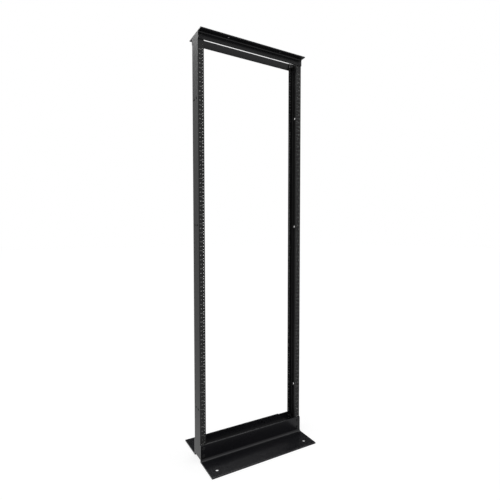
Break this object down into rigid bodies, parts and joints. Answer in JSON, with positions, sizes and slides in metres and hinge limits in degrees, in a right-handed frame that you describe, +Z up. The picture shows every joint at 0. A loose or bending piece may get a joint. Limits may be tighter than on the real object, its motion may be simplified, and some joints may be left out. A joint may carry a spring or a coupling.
{
  "type": "two post open frame rack",
  "caption": "Open frame equipment rack: drilled channel uprights tied at the head by light angles and standing on wide base angles with floor anchor holes.",
  "frame": {"origin": "on the floor, midway between the uprights and midway between the base angles", "axes": "+X to the rack's right as seen from the front, +Y from the front to the back, +Z up"},
  "size_m": [0.616, 0.381, 2.1336],
  "materials": {
    "upright_coating": "satin black powder coat",
    "angle_coating": "satin black powder coat",
    "fasteners": "black oxide",
    "unit_marks": "printed ink"
  },
  "bodies": {
    "root": {"left_upright": "upright_coating", "right_upright": "upright_coating", "front_top_angle": "angle_coating", "rear_top_angle": "angle_coating", "front_base_angle": "angle_coating", "rear_base_angle": "angle_coating"}
  },
  "joints": []
}
